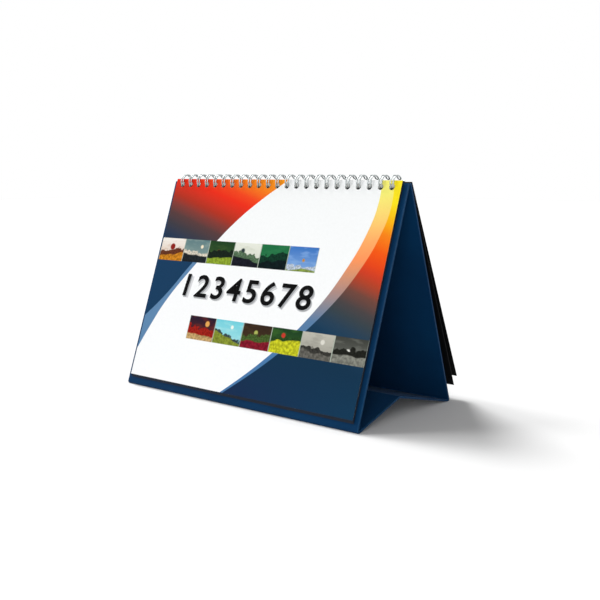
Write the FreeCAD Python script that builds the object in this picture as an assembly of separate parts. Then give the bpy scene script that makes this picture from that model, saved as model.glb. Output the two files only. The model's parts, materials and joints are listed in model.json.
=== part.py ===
import FreeCAD, Part
import math
import os

# A desk calendar: printed leaves bound by a twin-loop wire to the top of a folded card easel.
# Millimetres. X runs along the binding, the print faces -Y, +Z is up.

# Leaves
page_width = 200.0
page_height = 148.0
cover_thickness = 0.3
leaves_thickness = 1.4
rear_inner_height = 147.0
rear_outer_height = 143.5
rear_thickness = 0.3
sheet_gap = 0.15            # clearance between neighbouring sheets at the binding

# Easel, folded from one board
stand_margin = 3.5          # of the easel beyond each end of the leaves
stand_depth = 104.0         # between the two bottom fold lines
panel_length = 154.0        # from a bottom fold line to a top edge
board_thickness = 1.2
fold_radius = 1.0           # of the board's mid-plane at each fold
ridge_forward = 8.0         # the base's ridge, ahead of the middle
ridge_height = 14.0
foot_flat = 1.0             # least width of the pressed flat under each bottom fold

# Punched holes, three to the inch
hole_radius = 2.0
hole_inset = 4.3            # from a sheet's top edge to its hole centres
hole_pitch = 25.4 / 3

# Binding wire
wire_radius = 0.45
ring_radius = 4.8           # of the wire's centre line
loop_width = 2.1            # between the two strands of one loop
spine_bend = 0.8
spine_angle = 106.0         # behind straight down, as degrees round the ring
tip_clearance = 0.2         # from a loop's tip to the spine
end_stub = 1.5
panel_offset = 0.8          # from the ring centre to each panel's mid-plane

# How far the two rear leaves stand off behind the easel's back panel
rear_inner_splay = 3.0
rear_outer_splay = 5.0

cut_margin = 1.0            # how far a cutting tool passes the faces that it cuts

stand_width = page_width + 2 * stand_margin
hole_count = math.floor(page_width / hole_pitch)

leaves_offset = panel_offset + board_thickness / 2 + sheet_gap + leaves_thickness / 2
cover_offset = leaves_offset + leaves_thickness / 2 + sheet_gap + cover_thickness / 2
rear_inner_offset = panel_offset + board_thickness / 2 + sheet_gap + rear_thickness / 2
rear_outer_offset = rear_inner_offset + rear_thickness + sheet_gap


def drop_to_hole(offset):
    """Distance down a sheet from the ring centre's level to its holes."""
    return math.sqrt(ring_radius ** 2 - offset ** 2)


# The panels lean so that their fold lines lie stand_depth apart and both reach the ring.
panel_reach = panel_length - hole_inset + drop_to_hole(panel_offset)
slope = math.degrees(math.asin(stand_depth / 2 / math.hypot(panel_reach, panel_offset))
                     - math.atan2(panel_offset, panel_reach))
ring_height = panel_reach * math.cos(math.radians(slope)) - panel_offset * math.sin(math.radians(slope))

hole_places = [(i - (hole_count - 1) / 2) * hole_pitch for i in range(hole_count)]


def on_ring(x, angle):
    """A point of the ring, by degrees from straight down towards the front."""
    turn = math.radians(angle)
    return FreeCAD.Vector(x, -ring_radius * math.sin(turn), ring_height - ring_radius * math.cos(turn))


def hang(shape, lean):
    """Stand a flat sheet up, leaning back by lean degrees (negative at the rear), at the ring."""
    shape.rotate(FreeCAD.Vector(0, 0, 0), FreeCAD.Vector(1, 0, 0), 90 - lean)
    shape.translate(FreeCAD.Vector(0, 0, ring_height))
    return shape


def punches(offset, thickness):
    """The punched holes of a flat sheet, as cutting pegs."""
    depth = thickness + 2 * cut_margin
    base = offset - depth / 2
    level = -drop_to_hole(abs(offset))
    across = FreeCAD.Vector(0, 0, 1)
    return [Part.makeCylinder(hole_radius, depth, FreeCAD.Vector(x, level, base), across)
            for x in hole_places]


def sheet(width, height, thickness, offset, lean):
    """A punched sheet; offset is from the ring centre to its mid-plane, negative at the rear."""
    top = hole_inset - drop_to_hole(abs(offset))
    corner = FreeCAD.Vector(-width / 2, top - height, offset - thickness / 2)
    body = Part.makeBox(width, height, thickness, corner)
    return hang(body.cut(Part.makeCompound(punches(offset, thickness))), lean)


def line(first, last):
    """A straight edge."""
    return Part.LineSegment(first, last).toShape()


def arc(first, middle, last):
    """A round edge through three points."""
    return Part.Arc(first, middle, last).toShape()


def side_of(direction):
    """The left-hand normal of a direction in the YZ plane."""
    return FreeCAD.Vector(0, -direction.z, direction.y)


def offset_side(path, distance):
    """Edges parallel to a folded line in the YZ plane, with an arc round each fold."""
    edges = []
    ahead = (path[1] - path[0]).normalize()
    start = path[0] + side_of(ahead) * distance
    for i in range(1, len(path) - 1):
        back = ahead
        ahead = (path[i + 1] - path[i]).normalize()
        turn = back.getAngle(ahead)
        inside = math.copysign(1, back.cross(ahead).x)
        setback = fold_radius * math.tan(turn / 2)
        first = path[i] - back * setback
        last = path[i] + ahead * setback
        centre = first + side_of(back) * (fold_radius * inside)
        radius = fold_radius - distance * inside
        middle = centre + (path[i] - centre).normalize() * radius
        leave = first + side_of(back) * distance
        resume = last + side_of(ahead) * distance
        edges.append(line(start, leave))
        edges.append(arc(leave, middle, resume))
        start = resume
    edges.append(line(start, path[-1] + side_of(ahead) * distance))
    return edges


def easel_path():
    """The board's mid-plane, from the front panel's top edge round to the rear one's."""
    lean = math.radians(slope)
    half = stand_depth / 2
    rise = FreeCAD.Vector(0, math.sin(lean), math.cos(lean)) * panel_length
    front = FreeCAD.Vector(0, -half, 0)
    rear = FreeCAD.Vector(0, half, 0)
    ridge = FreeCAD.Vector(0, -ridge_forward, ridge_height)
    return [front + rise, front, ridge, rear, rear + FreeCAD.Vector(0, -rise.y, rise.z)]


def fold_drop(run):
    """Level of the pressed flat under the bottom fold whose base half runs this far to the ridge."""
    lean = math.atan2(ridge_height, run)
    up_panel = math.radians(90 - slope)
    turn = math.pi - (up_panel - lean)
    centre_rise = fold_radius / math.cos(turn / 2) * math.sin((up_panel + lean) / 2)
    outside = fold_radius + board_thickness / 2
    return centre_rise - math.sqrt(outside ** 2 - (foot_flat / 2) ** 2)


def foot_level():
    """The level that both bottom folds are pressed flat to."""
    half = stand_depth / 2
    return max(fold_drop(half - ridge_forward), fold_drop(half + ridge_forward))


def stand():
    """The easel: front panel, raised base and back panel, one folded board with its holes."""
    path = easel_path()
    inner = offset_side(path, board_thickness / 2)
    outer = offset_side(path, -board_thickness / 2)
    caps = [line(inner[0].Vertexes[0].Point, outer[0].Vertexes[0].Point),
            line(inner[-1].Vertexes[-1].Point, outer[-1].Vertexes[-1].Point)]
    outline = Part.Wire(Part.__sortEdges__(inner + outer + caps))
    board = Part.Face(outline).extrude(FreeCAD.Vector(stand_width, 0, 0))
    board.translate(FreeCAD.Vector(-stand_width / 2, 0, 0))
    pegs = [hang(peg, slope) for peg in punches(panel_offset, board_thickness)]
    pegs += [hang(peg, -slope) for peg in punches(-panel_offset, board_thickness)]
    reach = board_thickness + fold_radius + cut_margin
    corner = FreeCAD.Vector(-stand_width / 2 - cut_margin, -stand_depth / 2 - reach, foot_level() - reach)
    below = Part.makeBox(stand_width + 2 * cut_margin, stand_depth + 2 * reach, reach, corner)
    return board.cut(Part.makeCompound(pegs + [below]))


def bend(corner, before, after, radius):
    """A quarter turn of the wire at corner, arriving along before and leaving along after."""
    first = corner - before * radius
    last = corner + after * radius
    centre = first + after * radius
    middle = centre + (corner - centre).normalize() * radius
    return arc(first, middle, last)


def wire_path():
    """The binding's centre line: spine, up one strand, round the tip and back, loop after loop."""
    along = FreeCAD.Vector(1, 0, 0)
    half = loop_width / 2
    spread = math.degrees(spine_bend / ring_radius)
    start_angle = -spine_angle + spread
    tip_room = 2 * wire_radius + tip_clearance + half
    end_angle = 360 - spine_angle - math.degrees(tip_room / ring_radius)
    mid_angle = (start_angle + end_angle) / 2
    turn = math.radians(start_angle)
    forward = FreeCAD.Vector(0, -math.cos(turn), math.sin(turn))
    tip_turn = math.radians(end_angle)
    tip_forward = FreeCAD.Vector(0, -math.cos(tip_turn), math.sin(tip_turn))
    edges = []
    reach = hole_places[0] - half - spine_bend - end_stub
    for x in hole_places:
        left = on_ring(x - half, start_angle) - forward * spine_bend
        right = on_ring(x + half, start_angle) - forward * spine_bend
        spine_from = FreeCAD.Vector(reach, left.y, left.z)
        edges.append(line(spine_from, left - along * spine_bend))
        edges.append(bend(left, along, forward, spine_bend))
        edges.append(arc(on_ring(x - half, start_angle), on_ring(x - half, mid_angle),
                         on_ring(x - half, end_angle)))
        edges.append(arc(on_ring(x - half, end_angle), on_ring(x, end_angle) + tip_forward * half,
                         on_ring(x + half, end_angle)))
        edges.append(arc(on_ring(x + half, end_angle), on_ring(x + half, mid_angle),
                         on_ring(x + half, start_angle)))
        edges.append(bend(right, forward * -1, along, spine_bend))
        reach = right.x + spine_bend
    last = FreeCAD.Vector(reach, right.y, right.z)
    edges.append(line(last, last + along * end_stub))
    return edges


def wire_binding():
    """One continuous round wire, swept along its centre line."""
    edges = wire_path()
    start = edges[0].Vertexes[0].Point
    section = Part.Wire(Part.makeCircle(wire_radius, start, FreeCAD.Vector(1, 0, 0)))
    return Part.Wire(edges).makePipeShell([section], True, False)


def pieces():
    """Every piece by name, in the easel's own frame."""
    return {
        "stand": stand(),
        "wire_binding": wire_binding(),
        "month_leaves": sheet(page_width, page_height, leaves_thickness, leaves_offset, slope),
        "front_cover": sheet(page_width, page_height, cover_thickness, cover_offset, slope),
        "rear_leaf_inner": sheet(stand_width, rear_inner_height, rear_thickness,
                                 -rear_inner_offset, -slope - rear_inner_splay),
        "rear_leaf_outer": sheet(stand_width, rear_outer_height, rear_thickness,
                                 -rear_outer_offset, -slope - rear_outer_splay),
    }


def origin_of(shapes):
    """The middle of the underside of the box round all the pieces."""
    box = Part.makeCompound(list(shapes.values())).BoundBox
    return FreeCAD.Vector(box.Center.x, box.Center.y, box.ZMin)


def main():
    os.makedirs("parts", exist_ok=True)
    shapes = pieces()
    origin = origin_of(shapes)
    for name, shape in shapes.items():
        shape.translate(origin * -1)
        shape.exportStep("parts/" + name + ".step")
        print(name, "solids", len(shape.Solids), "valid", shape.isValid(), "volume", round(shape.Volume, 1))
    return shapes, origin


placed, frame_origin = main()
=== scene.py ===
import json
import math
import random
import bmesh
import bpy
from mathutils import Matrix, Vector


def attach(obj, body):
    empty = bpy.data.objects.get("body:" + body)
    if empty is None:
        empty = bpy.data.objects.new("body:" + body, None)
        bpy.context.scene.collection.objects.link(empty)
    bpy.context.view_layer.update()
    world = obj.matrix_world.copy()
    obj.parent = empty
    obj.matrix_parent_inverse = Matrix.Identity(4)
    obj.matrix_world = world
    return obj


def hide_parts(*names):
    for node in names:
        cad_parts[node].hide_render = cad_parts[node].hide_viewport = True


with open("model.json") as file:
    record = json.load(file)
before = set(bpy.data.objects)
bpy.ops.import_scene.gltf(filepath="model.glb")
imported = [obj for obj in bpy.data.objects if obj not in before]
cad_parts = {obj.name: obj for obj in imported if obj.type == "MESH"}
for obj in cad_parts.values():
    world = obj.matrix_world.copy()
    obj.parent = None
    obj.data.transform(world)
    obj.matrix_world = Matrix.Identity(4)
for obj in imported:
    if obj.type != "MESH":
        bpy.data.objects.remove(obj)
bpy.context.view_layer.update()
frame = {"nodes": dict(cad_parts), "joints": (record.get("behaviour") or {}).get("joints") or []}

random.seed(7)
mm = 0.001
sceneNow = bpy.context.scene
ringCentre = Vector(frame["joints"][0]["pos_m"])   # every leaf turns about the middle of the wire's loops
print("frame loaded:", sorted(frame["nodes"]))


# camera, at the photograph's angle; its place is in millimetres and its angles are in degrees
camera = {
    "place": (411.9, -478.2, 152.1), "turn": 39.88, "dip": 7.93,
    "focalPixels": 917.0, "framePixels": 600, "sensor": 36, "nearest": 0.01,
}

lens = bpy.data.cameras.new("deskCamera")
lens.sensor_width = camera["sensor"]
lens.lens = lens.sensor_width * camera["focalPixels"] / camera["framePixels"]
lens.clip_start = camera["nearest"]
view = bpy.data.objects.new("deskCamera", lens)
sceneNow.collection.objects.link(view)
view.location = Vector(camera["place"]) * mm
view.rotation_euler = (math.radians(90 - camera["dip"]), 0, math.radians(camera["turn"]))
sceneNow.camera = view
print("camera set")


# node helpers
def setInput(tree, socket, value):
    if isinstance(value, bpy.types.NodeSocket):
        tree.links.new(value, socket)
    elif value is not None:
        socket.default_value = value


def paint(code):
    # a colour as it looks on paper, "#rrggbb", in the linear values that a shader takes
    parts = [int(code[i:i + 2], 16) / 255 for i in (1, 3, 5)]
    return tuple(c / 12.92 if c <= 0.04045 else ((c + 0.055) / 1.055) ** 2.4 for c in parts) + (1.0,)


def calc(tree, operation, a, b=None, c=None, clamp=False):
    node = tree.nodes.new("ShaderNodeMath")
    node.operation = operation
    node.use_clamp = clamp
    for socket, value in zip(node.inputs, (a, b, c)):
        setInput(tree, socket, value)
    return node.outputs[0]


def mixColour(tree, amount, first, second, how="MIX"):
    # the node has one set of sockets for each kind of value: 6, 7 and output 2 are for colours
    node = tree.nodes.new("ShaderNodeMix")
    node.data_type = "RGBA"
    node.blend_type = how
    setInput(tree, node.inputs[0], amount)
    setInput(tree, node.inputs[6], first)
    setInput(tree, node.inputs[7], second)
    return node.outputs[2]


def ramp(tree, value, stops, sharp=False):
    # stops are (place, colour code or colour) from low to high, places from 0 to 1
    node = tree.nodes.new("ShaderNodeValToRGB")
    node.color_ramp.interpolation = "CONSTANT" if sharp else "LINEAR"
    elements = node.color_ramp.elements
    while len(elements) < len(stops):
        elements.new(0.5)
    for element, stop in zip(elements, stops):
        element.position = stop[0]
    for element, stop in zip(elements, stops):   # colours go on once every stop is in its place
        element.color = paint(stop[1]) if isinstance(stop[1], str) else stop[1]
    setInput(tree, node.inputs[0], value)
    return node.outputs[0]


def noise(tree, vector, scale, detail=2.0, rough=0.5):
    node = tree.nodes.new("ShaderNodeTexNoise")
    setInput(tree, node.inputs["Vector"], vector)
    setInput(tree, node.inputs["Scale"], scale)
    setInput(tree, node.inputs["Detail"], detail)
    setInput(tree, node.inputs["Roughness"], rough)
    return node.outputs[0]


def spread(tree, value, low, high, newLow=0.0, newHigh=1.0):
    node = tree.nodes.new("ShaderNodeMapRange")
    for socket, number in zip(node.inputs, (value, low, high, newLow, newHigh)):
        setInput(tree, socket, number)
    return node.outputs[0]


def vary(tree, value, low, high):
    # a noise, most of which lies between 0.3 and 0.7, laid out from low to high
    return spread(tree, value, 0.3, 0.7, low, high)


def newMaterial(name, roughness=0.5, metal=0.0, specular=0.5):
    material = bpy.data.materials.new(name)
    material.use_nodes = True
    shader = material.node_tree.nodes["Principled BSDF"]
    shader.inputs["Roughness"].default_value = roughness
    shader.inputs["Metallic"].default_value = metal
    shader.inputs["Specular IOR Level"].default_value = specular
    return material, material.node_tree, shader


def ownPlace(tree):
    return tree.nodes.new("ShaderNodeTexCoord").outputs["Object"]


def bump(tree, shader, height, strength, distance):
    # distance is in metres
    node = tree.nodes.new("ShaderNodeBump")
    node.inputs["Strength"].default_value = strength
    node.inputs["Distance"].default_value = distance
    setInput(tree, node.inputs["Height"], height)
    tree.links.new(node.outputs[0], shader.inputs["Normal"])


def wear(tree, radius):
    # 0 on flat stretches, 1 along sharp edges, where the rounded normal turns away from the face's own
    node = tree.nodes.new("ShaderNodeBevel")
    node.samples = 6
    node.inputs["Radius"].default_value = radius
    plain = tree.nodes.new("ShaderNodeNewGeometry")
    dot = tree.nodes.new("ShaderNodeVectorMath")
    dot.operation = "DOT_PRODUCT"
    tree.links.new(node.outputs[0], dot.inputs[0])
    tree.links.new(plain.outputs["Normal"], dot.inputs[1])
    return spread(tree, dot.outputs["Value"], 0.995, 0.8)


# sheets: where each lies, from its own solid
def sheetPlace(name):
    # a matrix from sheet millimetres (right, up, outward) to the frame, from the sheet's lower left corner,
    # and the sheet's width, height and thickness
    mesh = frame["nodes"][name].data
    largest = max(mesh.polygons, key=lambda face: face.area)
    outward = largest.normal.copy()
    if outward.z < 0:
        outward.negate()
    right = Vector((1, 0, 0)) if outward.y < 0 else Vector((-1, 0, 0))
    up = outward.cross(right)
    spans = []
    for axis in (right, up, outward):
        along = [axis.dot(v.co) for v in mesh.vertices]
        spans.append((min(along), max(along)))
    corner = right * spans[0][0] + up * spans[1][0] + outward * (spans[2][0] + spans[2][1]) / 2
    turn = Matrix((right, up, outward)).transposed().to_4x4()
    sizes = [(high - low) / mm for low, high in spans]
    return Matrix.Translation(corner) @ turn @ Matrix.Scale(mm, 4), sizes


def sheetMillimetres(tree, name):
    # the shader's place on a sheet, in millimetres from its lower left corner: as a vector, then how far
    # right, up and outward, and the sheet's width, height and thickness
    place, sizes = sheetPlace(name)
    node = tree.nodes.new("ShaderNodeMapping")
    tree.links.new(ownPlace(tree), node.inputs["Vector"])
    shift, turn, scale = place.inverted().decompose()
    node.inputs["Location"].default_value = shift
    node.inputs["Rotation"].default_value = turn.to_euler()
    node.inputs["Scale"].default_value = scale
    split = tree.nodes.new("ShaderNodeSeparateXYZ")
    tree.links.new(node.outputs[0], split.inputs[0])
    return node.outputs[0], split.outputs[0], split.outputs[1], split.outputs[2], sizes


def finishPiece(piece, body, material):
    piece.data.materials.clear()
    piece.data.materials.append(material)
    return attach(piece, body)


def meshPiece(name, mesh):
    piece = bpy.data.objects.new(name, mesh)
    sceneNow.collection.objects.link(piece)
    return piece


def curveToMesh(curve, name, weld=0.0):
    holder = bpy.data.objects.new(name + "Curve", curve)
    sceneNow.collection.objects.link(holder)
    bpy.context.view_layer.update()
    mesh = bpy.data.meshes.new_from_object(holder.evaluated_get(bpy.context.evaluated_depsgraph_get()))
    bpy.data.objects.remove(holder)
    bpy.data.curves.remove(curve)
    if weld:   # joins the faces of a filled curve to its sides
        solid = bmesh.new()
        solid.from_mesh(mesh)
        bmesh.ops.remove_doubles(solid, verts=solid.verts, dist=weld)
        solid.to_mesh(mesh)
        solid.free()
    return mesh


# the cover's print: broad fields of colour round a white sweep,
# in millimetres from the page's lower left corner
cover = {
    # the cut edge colour is painted shade: near-black for the dark line round the page
    "white": "#f6f7f8", "whiteTop": "#f3f5f5", "bare": "#e9e8e4", "shadedCutEdge": "#141b26",
    # outlines of the fields, as (up, right)
    "redEdge": [(101, 54), (118.3, 70.4), (130.8, 85.2), (148, 109.5)],
    "wedgeEdge": [(0, -46), (43.6, 0), (60.8, 16.7), (85.2, 35.9), (103, 52)],
    "wedgeBandEdge": [(0, -8), (18.9, 0), (34.5, 7), (55.8, 18.1), (85.5, 40.3), (103, 55)],
    "sweepOuter": [(0, 90.2), (29.1, 125), (59.5, 152.8), (90.4, 172.1), (115.8, 182.5), (131.8, 185.6),
                   (148, 184.9)],
    "sweepInner": [(0, 92.5), (31, 132), (62.3, 163.1), (92.5, 183.5), (115, 192.7), (128.5, 195.4),
                   (148, 194.1)],
    "redFoot": 102, "wedgeTop": 87.0, "edgeSoft": 0.35,
    # fades, as (level, colour): a level is the height, tilted by a lean in the two wide fields
    "leftFade": [(101, "#1a314d"), (108, "#2a384f"), (116, "#3e3b43"), (124, "#573c3c"), (131, "#833b35"),
                 (137, "#ad3323"), (144, "#cf3221"), (151, "#e92f1b"), (158, "#f04720"), (168, "#f48220"),
                 (181, "#f79c1d")],
    "rightFade": [(43, "#1b3c57"), (50, "#273f54"), (58, "#374249"), (65, "#494344"), (74, "#6f463c"),
                  (83, "#b24229"), (88, "#cb3e25"), (94, "#e2451a"), (103, "#f05715"), (115, "#f3811a"),
                  (125, "#f5b615"), (136, "#f7df1f"), (148, "#f9e426")],
    "sweepFade": [(37, "#4877a7"), (55, "#587ca2"), (67, "#89868f"), (77, "#b18a7f"), (87, "#d5926e"),
                  (97, "#f9955c"), (109, "#fcaa65"), (123, "#f8cf71"), (140, "#f4ed77")],
    "leftLean": 0.3, "rightLean": 0.3, "rightPivot": 190.0,
    # the right field's navy foot, from which level down it takes over, and where its tints change
    "navy": "#14324b", "navyWarm": "#182c4d", "navyCool": "#133854",
    "navyUnder": (45, 28), "navyAcross": (100, 200), "navyUp": (0, 30),
    "wedgeNavy": "#183b5c", "wedgeBand": "#5d84aa",
    "stripTop": {"from": (0.0, 86.0), "size": (147.8, 16.6)},
    "stripLow": {"from": (47.0, 31.8), "size": (153.2, 16.5)},
    "skin": 0.02,   # how near its front or back a point counts as on it
    "specular": 0.02, "roughness": (0.45, 0.58), "grainScale": 3.5, "grainBump": (0.1, 0.00003),
    "mottle": 0.06, "mottleTint": "#c8c8c4", "mottleScale": 0.5,
    "rub": 0.05, "rubTint": "#c9ccd0", "rubReach": 0.0003,
}

# generic little views, left to right: sky, haze at the horizon, far hills, near ground and disc,
# then the heights of both grounds, their tilt (0.5 is level) and the disc's place and size in the cell
picturesTop = [
    ("#efeae2", "#c9a184", "#6e3a26", "#d98b24", "#8a211b", 0.52, 0.30, 0.62, 0.50, 0.62, 0.17),
    ("#5e7c80", "#8fa39c", "#e6ddca", "#20262a", "#f0e2c4", 0.50, 0.34, 0.44, 0.72, 0.70, 0.10),
    ("#1f3f22", "#3d5a2e", "#18261c", "#93ad34", "#c8362c", 0.62, 0.30, 0.56, 0.42, 0.52, 0.12),
    ("#e3e6da", "#c3c8b6", "#5d7a5c", "#191b26", "#2d3a3c", 0.58, 0.36, 0.36, 0.34, 0.66, 0.13),
    ("#1d6a3f", "#2f7a4c", "#123a2a", "#0c1c1e", "#d8cfa0", 0.66, 0.34, 0.64, 0.60, 0.50, 0.11),
    ("#3a72bd", "#86aee0", "#c9d6e6", "#8aa04a", "#b98a3e", 0.24, 0.10, 0.50, 0.55, 0.46, 0.09),
]
picturesLow = [
    ("#1d1a2c", "#6a2a22", "#a8241c", "#cda870", "#e2a455", 0.56, 0.26, 0.44, 0.70, 0.72, 0.14),
    ("#6fcbd8", "#a8dfe2", "#3f4f52", "#8d9b38", "#eef4ea", 0.42, 0.34, 0.22, 0.62, 0.74, 0.10),
    ("#33241c", "#4a3a22", "#4c6630", "#8c1c2e", "#a8b05a", 0.60, 0.34, 0.58, 0.48, 0.66, 0.12),
    ("#1c3c22", "#3d6a2a", "#2a4c24", "#d3d42a", "#c23a2c", 0.66, 0.52, 0.60, 0.40, 0.72, 0.12),
    ("#b9b7ab", "#8f8d84", "#3c3b37", "#6b6962", "#d8d6cc", 0.42, 0.28, 0.40, 0.66, 0.68, 0.12),
    ("#3d3f3a", "#6f716a", "#23241f", "#8b8c82", "#dedfd6", 0.60, 0.34, 0.54, 0.46, 0.44, 0.15),
]

# how the little views are drawn; their noise scales are per millimetre
scenery = {
    "skyCurve": 0.7, "cloudStretch": (0.09, 0.3, 0.1), "cloudFrom": 0.5, "cloudTo": 0.66, "cloud": 0.5,
    "discSharp": 22.0, "tiltGain": 1.6, "crestSharp": 24.0,
    "hills": {"ragged": 0.5, "scale": 0.24, "patch": 0.8},
    "ground": {"ragged": 0.28, "scale": 0.11, "patch": 0.5},
    "dapple": 0.5, "dappleTint": "#4c5250", "gap": 0.012, "gapTint": "#a9b4a6",
}


def edgeCurve(tree, up, points, height, width):
    # how far right an outline lies, by the height on the page
    node = tree.nodes.new("ShaderNodeFloatCurve")
    line = node.mapping.curves[0]
    reach = 2 * width
    while len(line.points) < len(points):
        line.points.new(0.5, 0.5)
    for point, (level, right) in zip(line.points, points):
        point.location = (level / height, (right + width / 2) / reach)
    node.mapping.update()
    setInput(tree, node.inputs["Value"], calc(tree, "DIVIDE", up, height))
    return calc(tree, "SUBTRACT", calc(tree, "MULTIPLY", node.outputs[0], reach), width / 2)


def leftOf(tree, right, edge, soft):
    return calc(tree, "MULTIPLY_ADD", calc(tree, "SUBTRACT", edge, right), 1 / soft, 0.5, clamp=True)


def within(tree, value, low, high, soft):
    above = calc(tree, "MULTIPLY_ADD", calc(tree, "SUBTRACT", value, low), 1 / soft, 0.5, clamp=True)
    below = calc(tree, "MULTIPLY_ADD", calc(tree, "SUBTRACT", high, value), 1 / soft, 0.5, clamp=True)
    return calc(tree, "MULTIPLY", above, below)


def fade(tree, value, stops):
    low, high = stops[0][0], stops[-1][0]
    places = [((level - low) / (high - low), colour) for level, colour in stops]
    return ramp(tree, spread(tree, value, low, high), places)


def pictureStrip(tree, spot, right, up, strip, pictures, soft):
    # a row of equal little views; returns its colour and its mask
    left, bottom = strip["from"]
    width, height = strip["size"]
    count = len(pictures)
    along = calc(tree, "MULTIPLY", calc(tree, "SUBTRACT", right, left), 1 / width)
    level = calc(tree, "MULTIPLY", calc(tree, "SUBTRACT", up, bottom), 1 / height)
    cell = calc(tree, "FRACT", calc(tree, "MULTIPLY", along, count))

    def pick(values):
        return ramp(tree, along, [(i / count, value) for i, value in enumerate(values)], sharp=True)

    def pickNumbers(first):
        # three numbers of each view at once, carried as one colour
        parts = tree.nodes.new("ShaderNodeSeparateColor")
        tree.links.new(pick([(*row[first:first + 3], 1.0) for row in pictures]), parts.inputs[0])
        return parts.outputs[:3]

    sky, haze, hills, ground, discColour = [pick([row[k] for row in pictures]) for k in range(5)]
    farLevel, nearLevel, tilt = pickNumbers(5)
    discAcross, discUp, discSize = pickNumbers(8)
    slope = calc(tree, "MULTIPLY", calc(tree, "SUBTRACT", tilt, 0.5), calc(tree, "SUBTRACT", cell, 0.5))

    # sky with a few clouds
    colour = mixColour(tree, calc(tree, "POWER", level, scenery["skyCurve"]), haze, sky)
    cloud = tree.nodes.new("ShaderNodeMapping")
    cloud.inputs["Scale"].default_value = scenery["cloudStretch"]
    tree.links.new(spot, cloud.inputs["Vector"])
    clouds = spread(tree, noise(tree, cloud.outputs[0], 1.0), scenery["cloudFrom"], scenery["cloudTo"],
                    0.0, scenery["cloud"])
    colour = mixColour(tree, clouds, colour, haze)

    # disc, round on paper whatever the cell's width
    across = calc(tree, "MULTIPLY", calc(tree, "SUBTRACT", cell, discAcross), width / count / height)
    rise = calc(tree, "SUBTRACT", level, discUp)
    square = calc(tree, "ADD", calc(tree, "POWER", across, 2.0), calc(tree, "POWER", rise, 2.0))
    away = calc(tree, "SQRT", square)
    disc = calc(tree, "MULTIPLY", calc(tree, "SUBTRACT", discSize, away), scenery["discSharp"], clamp=True)
    colour = mixColour(tree, disc, colour, discColour)

    # far hills, then the near ground over them
    for depth, tint, form in ((farLevel, hills, scenery["hills"]), (nearLevel, ground, scenery["ground"])):
        ripple = calc(tree, "SUBTRACT", noise(tree, spot, form["scale"], 1.6, 0.4), 0.5)
        ripple = calc(tree, "MULTIPLY", ripple, form["ragged"])
        crest = calc(tree, "ADD", calc(tree, "MULTIPLY_ADD", slope, scenery["tiltGain"], depth), ripple)
        under = calc(tree, "SUBTRACT", crest, level)
        mask = calc(tree, "MULTIPLY", under, scenery["crestSharp"], clamp=True)
        dapple = spread(tree, noise(tree, spot, form["patch"], 1.0), 0.35, 0.65, 0.0, scenery["dapple"])
        shaded = mixColour(tree, dapple, tint, paint(scenery["dappleTint"]), "MULTIPLY")
        colour = mixColour(tree, mask, colour, shaded)

    inside = within(tree, cell, scenery["gap"], 1 - scenery["gap"], scenery["gap"])
    colour = mixColour(tree, inside, paint(scenery["gapTint"]), colour)
    mask = calc(tree, "MULTIPLY", within(tree, right, left, left + width, soft),
                within(tree, up, bottom, bottom + height, soft))
    return colour, mask


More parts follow.
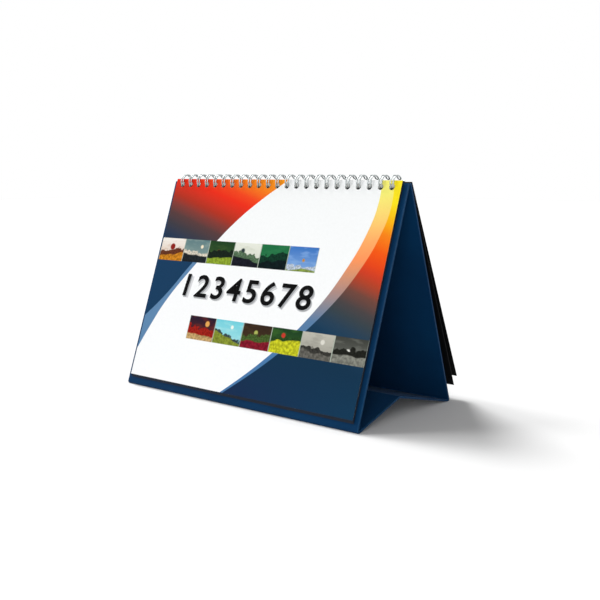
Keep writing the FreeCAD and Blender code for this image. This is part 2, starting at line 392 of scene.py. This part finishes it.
def coverMaterial():
    material, tree, shader = newMaterial("coverPrint", specular=cover["specular"])
    spot, right, up, out, (width, height, thick) = sheetMillimetres(tree, "front_cover")
    soft = cover["edgeSoft"]
    edges = {key: edgeCurve(tree, up, cover[key], height, width)
             for key in ("redEdge", "wedgeEdge", "wedgeBandEdge", "sweepOuter", "sweepInner")}

    colour = mixColour(tree, spread(tree, up, 0, height), paint(cover["white"]), paint(cover["whiteTop"]))

    # upper left field, red to orange, fading to navy at its foot
    leftLevel = calc(tree, "MULTIPLY_ADD", right, cover["leftLean"], up)
    upperLeft = calc(tree, "MULTIPLY", leftOf(tree, right, edges["redEdge"], soft),
                     within(tree, up, cover["redFoot"], 2 * height, soft))
    colour = mixColour(tree, upperLeft, colour, fade(tree, leftLevel, cover["leftFade"]))

    # navy wedge below it with a pale blue border
    lowerLeft = calc(tree, "LESS_THAN", up, cover["wedgeTop"])
    for edge, tint in (("wedgeBandEdge", "wedgeBand"), ("wedgeEdge", "wedgeNavy")):
        field = calc(tree, "MULTIPLY", leftOf(tree, right, edges[edge], soft), lowerLeft)
        colour = mixColour(tree, field, colour, paint(cover[tint]))

    # right sweep: a lighter border, then yellow to red to navy
    sweep = calc(tree, "SUBTRACT", 1.0, leftOf(tree, right, edges["sweepOuter"], soft))
    colour = mixColour(tree, sweep, colour, fade(tree, up, cover["sweepFade"]))
    fromPivot = calc(tree, "SUBTRACT", right, cover["rightPivot"])
    rightLevel = calc(tree, "MULTIPLY_ADD", fromPivot, cover["rightLean"], up)
    deep = fade(tree, rightLevel, cover["rightFade"])
    lowNavy = mixColour(tree, spread(tree, right, *cover["navyAcross"]),
                        paint(cover["navyWarm"]), paint(cover["navyCool"]))
    lowNavy = mixColour(tree, spread(tree, up, *cover["navyUp"]), lowNavy, paint(cover["navy"]))
    deep = mixColour(tree, spread(tree, rightLevel, *cover["navyUnder"]), deep, lowNavy)
    inner = calc(tree, "SUBTRACT", 1.0, leftOf(tree, right, edges["sweepInner"], soft))
    colour = mixColour(tree, inner, colour, deep)

    for strip, pictures in ((cover["stripTop"], picturesTop), (cover["stripLow"], picturesLow)):
        picture, mask = pictureStrip(tree, spot, right, up, strip, pictures, soft)
        colour = mixColour(tree, mask, colour, picture)

    # bare paper on the back, near-black cut edges as painted shade, a faint mottle and a little wear
    front = calc(tree, "GREATER_THAN", out, thick / 2 - cover["skin"])
    back = calc(tree, "LESS_THAN", out, cover["skin"] - thick / 2)
    unprinted = mixColour(tree, back, paint(cover["shadedCutEdge"]), paint(cover["bare"]))
    colour = mixColour(tree, front, unprinted, colour)
    mottle = vary(tree, noise(tree, spot, cover["mottleScale"], 4.0), 0.0, cover["mottle"])
    colour = mixColour(tree, mottle, colour, paint(cover["mottleTint"]), "MULTIPLY")
    rub = calc(tree, "MULTIPLY", wear(tree, cover["rubReach"]), cover["rub"])
    colour = mixColour(tree, rub, colour, paint(cover["rubTint"]))
    tree.links.new(colour, shader.inputs["Base Color"])
    grain = noise(tree, spot, cover["grainScale"], 3.0, 0.6)
    tree.links.new(vary(tree, grain, *cover["roughness"]), shader.inputs["Roughness"])
    bump(tree, shader, grain, *cover["grainBump"])
    return material


def dressNode(name, material):
    node = frame["nodes"][name]
    node.data.materials.clear()
    node.data.materials.append(material)


dressNode("front_cover", coverMaterial())
print("cover printed")


# every printed figure is a very thin solid; its thickness is in millimetres
printed = {
    "thick": 0.012, "curveSteps": 6, "weld": 0.0001,
    "specular": 0.03, "roughness": (0.45, 0.6), "grainScale": 900.0, "fleck": 0.04, "fleckTint": "#8b8b8e",
}

# plain numerals in the cover's middle, over two soft grey shadows: ink, shift, bold and lift of each
numerals = {
    "text": "12345678", "height": 16.6, "from": (33.5, 61.2), "width": 117.0,
    "ink": "#040405", "lift": 0.02, "bold": 0.018, "slant": 0.1, "spacing": 1.2,
    "shadows": [("#d4d5d7", (1.5, -1.4), 0.045, 0.004), ("#a5a7aa", (1.0, -0.9), 0.018, 0.012)],
}


def textMesh(text, name, bold=0.0, slant=0.0, spacing=1.0):
    # thin figures with their lower left corner at the origin, and their size (width, height)
    letters = bpy.data.curves.new(name, "FONT")
    letters.body = text
    letters.shear = slant
    letters.offset = bold
    letters.space_character = spacing
    letters.resolution_u = printed["curveSteps"]
    letters.extrude = printed["thick"] / 2
    mesh = curveToMesh(letters, name, weld=printed["weld"])
    low = [min(v.co[i] for v in mesh.vertices) for i in (0, 1)]
    high = [max(v.co[i] for v in mesh.vertices) for i in (0, 1)]
    mesh.transform(Matrix.Translation((-low[0], -low[1], 0)))
    return mesh, (high[0] - low[0], high[1] - low[1])


def inkMaterial(name, ink):
    material, tree, shader = newMaterial(name, specular=printed["specular"])
    grain = noise(tree, ownPlace(tree), printed["grainScale"], 3.0)
    fleck = spread(tree, grain, 0.5, 0.8, 0.0, printed["fleck"])
    colour = mixColour(tree, fleck, paint(ink), paint(printed["fleckTint"]))
    tree.links.new(colour, shader.inputs["Base Color"])
    tree.links.new(vary(tree, grain, *printed["roughness"]), shader.inputs["Roughness"])
    return material


def numeralPiece(name, ink, shift, bold, lift):
    place, sizes = sheetPlace("front_cover")
    mesh, drawn = textMesh(numerals["text"], name, bold, numerals["slant"], numerals["spacing"])
    left, bottom = numerals["from"]
    corner = Matrix.Translation((left + shift[0], bottom + shift[1], sizes[2] / 2 + lift))
    stretch = Matrix.Diagonal((numerals["width"] / drawn[0], numerals["height"] / drawn[1], 1, 1))
    mesh.transform(place @ corner @ stretch)
    return finishPiece(meshPiece(name, mesh), "cover", inkMaterial(name, ink))


for index, (ink, shift, bold, lift) in enumerate(numerals["shadows"]):
    numeralPiece("numeral_shade_%d" % (index + 1), ink, shift, bold, lift)
numeralPiece("numerals", numerals["ink"], (0, 0), numerals["bold"], numerals["lift"])
print("numerals set")


# binding wire: one continuous strand, in millimetres and degrees
binding = {
    "wire": 0.45, "ring": 4.8, "loopWidth": 2.1, "spineAngle": 106.0, "spineBend": 0.8, "tipClear": 0.2,
    "stub": 1.5, "holePitch": 25.4 / 3, "holeCount": 23, "legSteps": 40, "turnSteps": 6, "roundness": 4,
    "dark": "#a2a8a8", "bright": "#bcc1c1", "roughness": (0.22, 0.36),
    "drawnScale": 900.0, "drawnBump": (0.08, 0.00003),
}


def ringPoint(x, angle):
    # angle is from straight down towards the front
    turn = math.radians(angle)
    radius = binding["ring"] * mm
    return Vector((x * mm, ringCentre.y - radius * math.sin(turn), ringCentre.z - radius * math.cos(turn)))


def quarter(corner, before, after, radius, steps):
    # points of a quarter turn that arrives along before and leaves along after
    centre = corner - before * radius + after * radius
    angles = [math.pi / 2 * i / steps for i in range(steps + 1)]
    return [centre - after * radius * math.cos(a) + before * radius * math.sin(a) for a in angles]


def wireLine():
    # along the spine, up one leg of a loop, round its tip and back down the other leg, loop after loop
    along = Vector((1, 0, 0))
    half = binding["loopWidth"] / 2
    bendRadius = binding["spineBend"] * mm
    endRun = along * (binding["spineBend"] + binding["stub"]) * mm
    start = -binding["spineAngle"] + math.degrees(binding["spineBend"] / binding["ring"])
    tipRoom = 2 * binding["wire"] + binding["tipClear"] + half
    end = 360 - binding["spineAngle"] - math.degrees(tipRoom / binding["ring"])
    forward = Vector((0, -math.cos(math.radians(start)), math.sin(math.radians(start))))
    tipForward = Vector((0, -math.cos(math.radians(end)), math.sin(math.radians(end))))
    legAngles = [start + (end - start) * i / binding["legSteps"] for i in range(1, binding["legSteps"])]
    points = []
    middle = (binding["holeCount"] - 1) / 2
    for i in range(binding["holeCount"]):
        x = (i - middle) * binding["holePitch"]
        left = ringPoint(x - half, start) - forward * bendRadius
        right = ringPoint(x + half, start) - forward * bendRadius
        if i == 0:
            points.append(left - endRun)
        points += quarter(left, along, forward, bendRadius, binding["turnSteps"])
        points += [ringPoint(x - half, a) for a in legAngles]
        for k in range(2 * binding["turnSteps"] + 1):
            turn = math.pi * k / (2 * binding["turnSteps"])
            bulge = tipForward * (half * mm * math.sin(turn))
            points.append(ringPoint(x - half * math.cos(turn), end) + bulge)
        points += [ringPoint(x + half, a) for a in reversed(legAngles)]
        points += quarter(right, -forward, along, bendRadius, binding["turnSteps"])
    points.append(right + endRun)
    return points


def wireMaterial():
    material, tree, shader = newMaterial("brightWire", metal=1.0)
    drawn = noise(tree, ownPlace(tree), binding["drawnScale"])
    shade = spread(tree, drawn, 0.35, 0.65)
    colour = mixColour(tree, shade, paint(binding["dark"]), paint(binding["bright"]))
    tree.links.new(colour, shader.inputs["Base Color"])
    tree.links.new(vary(tree, drawn, *binding["roughness"]), shader.inputs["Roughness"])
    bump(tree, shader, drawn, *binding["drawnBump"])
    return material


def buildWire():
    strand = bpy.data.curves.new("bindingStrand", "CURVE")
    strand.dimensions = "3D"
    strand.bevel_depth = binding["wire"] * mm
    strand.bevel_resolution = binding["roundness"]
    strand.use_fill_caps = True
    points = wireLine()
    line = strand.splines.new("POLY")
    line.points.add(len(points) - 1)
    for point, place in zip(line.points, points):
        point.co = (*place, 1)
    mesh = curveToMesh(strand, "bindingStrand")
    for face in mesh.polygons:
        face.use_smooth = True
    wire = finishPiece(meshPiece("twin_loop_wire", mesh), "easel", wireMaterial())
    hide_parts("wire_binding")


buildWire()
print("wire bent")


# month leaves: a stack of separate thin sheets, in millimetres, with a plain month grid on the first
leaves = {
    "count": 12, "sheetThick": 0.1, "stray": 0.18, "sag": 0.9,
    "holeInset": 4.3, "holeRadius": 2.0, "holeSteps": 5,
    "holeHandle": 0.5523,   # of the radius, which makes four Bezier points a circle
    "cells": (7, 6), "cell": (25.0, 17.0), "gridFrom": (12.5, 10.0), "lineWidth": 0.4, "line": "#9fb2c4",
    "bandFrom": 116.0, "bandTo": 132.0, "band": "#24486e", "printSoft": 0.2,
    # painted shadow: width of the near-black navy foot and sides of each sheet, and their colours, for the
    # shade under and beside the page
    "shadeFoot": 1.2, "shadeSide": 0.4, "shadeSoft": 0.1, "edge": "#0c1522", "shadePale": "#18263a",
    "paper": "#f1f0ec", "fleck": 0.07, "fleckTint": "#b9b4a8", "specular": 0.3, "roughness": (0.62, 0.78),
    "fibreScale": 1.8, "fibreBump": (0.15, 0.00005),
}


def punchedSheet(name, width, height, thick):
    # a flat sheet in millimetres with its row of holes along the top
    outline = bpy.data.curves.new(name, "CURVE")
    outline.dimensions = "2D"
    outline.fill_mode = "BOTH"
    outline.extrude = thick / 2
    border = outline.splines.new("POLY")
    corners = [(0, 0), (width, 0), (width, height), (0, height)]
    border.points.add(len(corners) - 1)
    for point, (x, y) in zip(border.points, corners):
        point.co = (x, y, 0, 1)
    border.use_cyclic_u = True
    radius = leaves["holeRadius"]
    y = height - leaves["holeInset"]
    for i in range(binding["holeCount"]):
        x = width / 2 + (i - (binding["holeCount"] - 1) / 2) * binding["holePitch"]
        hole = outline.splines.new("BEZIER")
        hole.bezier_points.add(3)
        hole.resolution_u = leaves["holeSteps"]
        for point, (ux, uy) in zip(hole.bezier_points, ((1, 0), (0, 1), (-1, 0), (0, -1))):
            place = Vector((x + ux * radius, y + uy * radius, 0))
            along = Vector((-uy, ux, 0)) * (radius * leaves["holeHandle"])
            point.co = place
            point.handle_left = place - along
            point.handle_right = place + along
        hole.use_cyclic_u = True
    return curveToMesh(outline, name, weld=0.001)


def leafMaterial():
    material, tree, shader = newMaterial("leafPaper", specular=leaves["specular"])
    spot, right, up, out, (width, height, thick) = sheetMillimetres(tree, "month_leaves")
    soft = leaves["printSoft"]

    # the month grid and a band above it, on the first sheet alone
    front = calc(tree, "GREATER_THAN", out, thick / 2 - leaves["sheetThick"] / 2)
    half = leaves["lineWidth"] / 2
    spans = []
    lines = []
    for value, start, cell, count in zip((right, up), leaves["gridFrom"], leaves["cell"], leaves["cells"]):
        share = calc(tree, "FRACT", calc(tree, "DIVIDE", calc(tree, "SUBTRACT", value, start), cell))
        away = calc(tree, "ABSOLUTE", calc(tree, "SUBTRACT", share, 0.5))
        lines.append(calc(tree, "GREATER_THAN", away, 0.5 - half / cell))
        spans.append(within(tree, value, start - half, start + cell * count + half, soft))
    grid = calc(tree, "MULTIPLY", calc(tree, "MULTIPLY", spans[0], spans[1]), front)
    lined = calc(tree, "MULTIPLY", calc(tree, "MAXIMUM", lines[0], lines[1]), grid)
    colour = mixColour(tree, lined, paint(leaves["paper"]), paint(leaves["line"]))
    band = calc(tree, "MULTIPLY", spans[0], within(tree, up, leaves["bandFrom"], leaves["bandTo"], soft))
    colour = mixColour(tree, calc(tree, "MULTIPLY", band, front), colour, paint(leaves["band"]))
    fibre = noise(tree, spot, leaves["fibreScale"], 5.0, 0.65)
    fleck = spread(tree, fibre, 0.35, 0.7, 0.0, leaves["fleck"])
    colour = mixColour(tree, fleck, colour, paint(leaves["fleckTint"]))

    # painted shadow: the sheets' feet and cut edges are coloured near-black navy for the shade under and
    # beside the page
    side = leaves["shadeSide"]
    inside = calc(tree, "MULTIPLY", within(tree, right, side, width - side, leaves["shadeSoft"]),
                  within(tree, up, leaves["shadeFoot"], 2 * height, leaves["shadeSoft"]))
    # painted shadow colour for the sheets' feet and cut edges
    ink = mixColour(tree, spread(tree, fibre, 0.4, 0.6), paint(leaves["edge"]), paint(leaves["shadePale"]))
    colour = mixColour(tree, inside, ink, colour)
    tree.links.new(colour, shader.inputs["Base Color"])
    tree.links.new(vary(tree, fibre, *leaves["roughness"]), shader.inputs["Roughness"])
    bump(tree, shader, fibre, *leaves["fibreBump"])
    return material


def buildLeaves():
    place, (width, height, thick) = sheetPlace("month_leaves")
    centre = place.inverted() @ ringCentre
    sheetThick = leaves["sheetThick"]
    last = leaves["count"] - 1
    step = (thick - sheetThick) / last
    joined = []
    for i in range(leaves["count"]):
        mesh = punchedSheet("leaf%d" % i, width, height, sheetThick)
        level = -thick / 2 + sheetThick / 2 + i * step
        # each sheet hangs with its holes on the wire, so those behind hang lower, and they sag more
        holeHeight = centre.y - math.sqrt(binding["ring"] ** 2 - (level - centre.z) ** 2)
        drop = holeHeight - (height - leaves["holeInset"]) - leaves["sag"] * (1 - i / last)
        stray = 0 if i in (0, last) else leaves["stray"]
        shift = (random.uniform(-stray, stray), drop + random.uniform(-stray, stray) / 2, level)
        mesh.transform(place @ Matrix.Translation(shift))
        joined.append(meshPiece("leaf%d" % i, mesh))
    with bpy.context.temp_override(active_object=joined[0], selected_editable_objects=joined,
                                   selected_objects=joined):
        bpy.ops.object.join()
    joined[0].name = "month_leaf_stack"
    stack = finishPiece(joined[0], "leaves", leafMaterial())
    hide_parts("month_leaves")


buildLeaves()
print("month leaves stacked")


# plain day numbers on the first sheet, in millimetres
days = {"count": 31, "firstColumn": 2, "height": 3.2, "inset": (1.8, 2.2), "lift": 0.02, "ink": "#2c3a4a"}


def buildDays():
    place, sizes = sheetPlace("month_leaves")
    columns, rows = leaves["cells"]
    page = bmesh.new()
    for day in range(1, days["count"] + 1):
        row, column = divmod(days["firstColumn"] + day - 1, columns)
        mesh, drawn = textMesh(str(day), "day")
        left = leaves["gridFrom"][0] + column * leaves["cell"][0] + days["inset"][0]
        top = leaves["gridFrom"][1] + (rows - row) * leaves["cell"][1] - days["inset"][1]
        size = days["height"] / drawn[1]
        corner = Matrix.Translation((left, top - days["height"], sizes[2] / 2 + days["lift"]))
        mesh.transform(place @ corner @ Matrix.Diagonal((size, size, 1, 1)))
        page.from_mesh(mesh)
        bpy.data.meshes.remove(mesh)
    numbers = bpy.data.meshes.new("dayNumbers")
    page.to_mesh(numbers)
    page.free()
    ink = inkMaterial("dayInk", days["ink"])
    finishPiece(meshPiece("day_numbers", numbers), "leaves", ink)


buildDays()
print("day numbers set")


# easel board: lighter navy along its edges, partly wear and partly painted highlight on the front panel,
# kept faint behind as painted shade
easel = {
    "navy": "#07375e", "navyDeep": "#062e52", "cloudScale": 22.0, "specular": 0.05, "sheen": 0.02,
    "rub": "#2a5a80", "rubReach": 0.0009, "wearAndHighlightFront": 0.8, "wearInShadeBehind": 0.12, "litShadeChange": 0.004,
    "patchScale": 260.0, "grainScale": 2600.0, "grainBump": (0.18, 0.00005), "roughness": (0.38, 0.52),
}

# dark leaves behind the easel
rearLeaf = {
    "black": "#050506", "blackPale": "#0c0c0f", "specular": 0.12,
    "rub": "#2a2a2e", "rubReach": 0.0003, "rubMost": 0.4,
    "grainScale": 1800.0, "grainBump": (0.2, 0.00005), "roughness": (0.52, 0.7),
}


def boardMaterial():
    material, tree, shader = newMaterial("easelBoard", specular=easel["specular"])
    spot = ownPlace(tree)
    cloud = noise(tree, spot, easel["cloudScale"], 3.0)
    colour = mixColour(tree, vary(tree, cloud, 0.0, 1.0), paint(easel["navyDeep"]), paint(easel["navy"]))
    split = tree.nodes.new("ShaderNodeSeparateXYZ")
    tree.links.new(spot, split.inputs[0])
    # painted light: edges in front of the wire get the lighter navy strongly, those behind only faintly, as
    # lit and shaded edges
    change = easel["litShadeChange"]
    litFrontShadedBack = spread(tree, split.outputs[1], ringCentre.y + change, ringCentre.y - change,
                     easel["wearInShadeBehind"], easel["wearAndHighlightFront"])
    patchy = spread(tree, noise(tree, spot, easel["patchScale"], 3.0), 0.35, 0.6, 0.4, 1.0)
    rub = calc(tree, "MULTIPLY", calc(tree, "MULTIPLY", wear(tree, easel["rubReach"]), patchy), litFrontShadedBack)
    colour = mixColour(tree, rub, colour, paint(easel["rub"]))
    tree.links.new(colour, shader.inputs["Base Color"])
    grain = noise(tree, spot, easel["grainScale"], 3.0, 0.6)
    tree.links.new(vary(tree, grain, *easel["roughness"]), shader.inputs["Roughness"])
    bump(tree, shader, grain, *easel["grainBump"])
    shader.inputs["Sheen Weight"].default_value = easel["sheen"]
    return material


def darkLeafMaterial():
    material, tree, shader = newMaterial("darkLeaf", specular=rearLeaf["specular"])
    spot = ownPlace(tree)
    grain = noise(tree, spot, rearLeaf["grainScale"], 4.0, 0.65)
    rub = calc(tree, "MULTIPLY", wear(tree, rearLeaf["rubReach"]), rearLeaf["rubMost"])
    shade = vary(tree, grain, 0.0, 1.0)
    colour = mixColour(tree, shade, paint(rearLeaf["black"]), paint(rearLeaf["blackPale"]))
    colour = mixColour(tree, rub, colour, paint(rearLeaf["rub"]))
    tree.links.new(colour, shader.inputs["Base Color"])
    tree.links.new(vary(tree, grain, *rearLeaf["roughness"]), shader.inputs["Roughness"])
    bump(tree, shader, grain, *rearLeaf["grainBump"])
    return material


dressNode("stand", boardMaterial())
darkLeaf = darkLeafMaterial()
for name in ("rear_leaf_inner", "rear_leaf_outer"):
    dressNode(name, darkLeaf)
print("easel and rear leaves finished")


# pale floor and soft light; each sun has its name, the direction towards it, its strength
# and its width in degrees
studio = {
    "floorSize": 8.0, "floor": (0.76, 0.76, 0.76, 1), "floorRoughness": 0.9, "floorGlow": 0.02,
    "world": 0.33,
    "suns": [("frontSun", (-0.62, -0.27, 0.74), 1.15, 20), ("sideSun", (-0.60, 0.16, 0.78), 2.9, 22),
             ("fillSun", (0.50, -0.80, 0.30), 0.8, 28)],
}


def addFloor():
    size = studio["floorSize"] / 2
    mesh = bpy.data.meshes.new("floor")
    corners = [(-size, -size, 0), (size, -size, 0), (size, size, 0), (-size, size, 0)]
    mesh.from_pydata(corners, [], [(0, 1, 2, 3)])
    floor = meshPiece("floor", mesh)
    material, tree, shader = newMaterial("paleFloor", roughness=studio["floorRoughness"], specular=0.0)
    shader.inputs["Base Color"].default_value = studio["floor"]
    rays = tree.nodes.new("ShaderNodeLightPath")
    seen = calc(tree, "MAXIMUM", rays.outputs["Is Camera Ray"], rays.outputs["Is Glossy Ray"])
    shader.inputs["Emission Color"].default_value = (1, 1, 1, 1)
    tree.links.new(calc(tree, "MULTIPLY", seen, studio["floorGlow"]), shader.inputs["Emission Strength"])
    mesh.materials.append(material)


def addWorld():
    # white where it is seen, straight or in a reflection, and dimmer as a light
    world = bpy.data.worlds.new("studio")
    sceneNow.world = world
    world.use_nodes = True
    tree = world.node_tree
    back = tree.nodes["Background"]
    rays = tree.nodes.new("ShaderNodeLightPath")
    seen = calc(tree, "MAXIMUM", rays.outputs["Is Camera Ray"], rays.outputs["Is Glossy Ray"])
    seen = calc(tree, "MAXIMUM", seen, rays.outputs["Is Transmission Ray"])
    light = calc(tree, "MULTIPLY_ADD", seen, 1 - studio["world"], studio["world"])
    tree.links.new(light, back.inputs["Strength"])
    back.inputs["Color"].default_value = (1, 1, 1, 1)


def addSuns():
    for name, toLight, strength, softness in studio["suns"]:
        sun = bpy.data.lights.new(name, "SUN")
        sun.energy = strength
        sun.angle = math.radians(softness)
        holder = bpy.data.objects.new(name, sun)
        sceneNow.collection.objects.link(holder)
        holder.rotation_euler = Vector(toLight).to_track_quat("Z", "Y").to_euler()


addFloor()
addWorld()
addSuns()
sceneNow.view_settings.view_transform = "Standard"
print("studio lit")
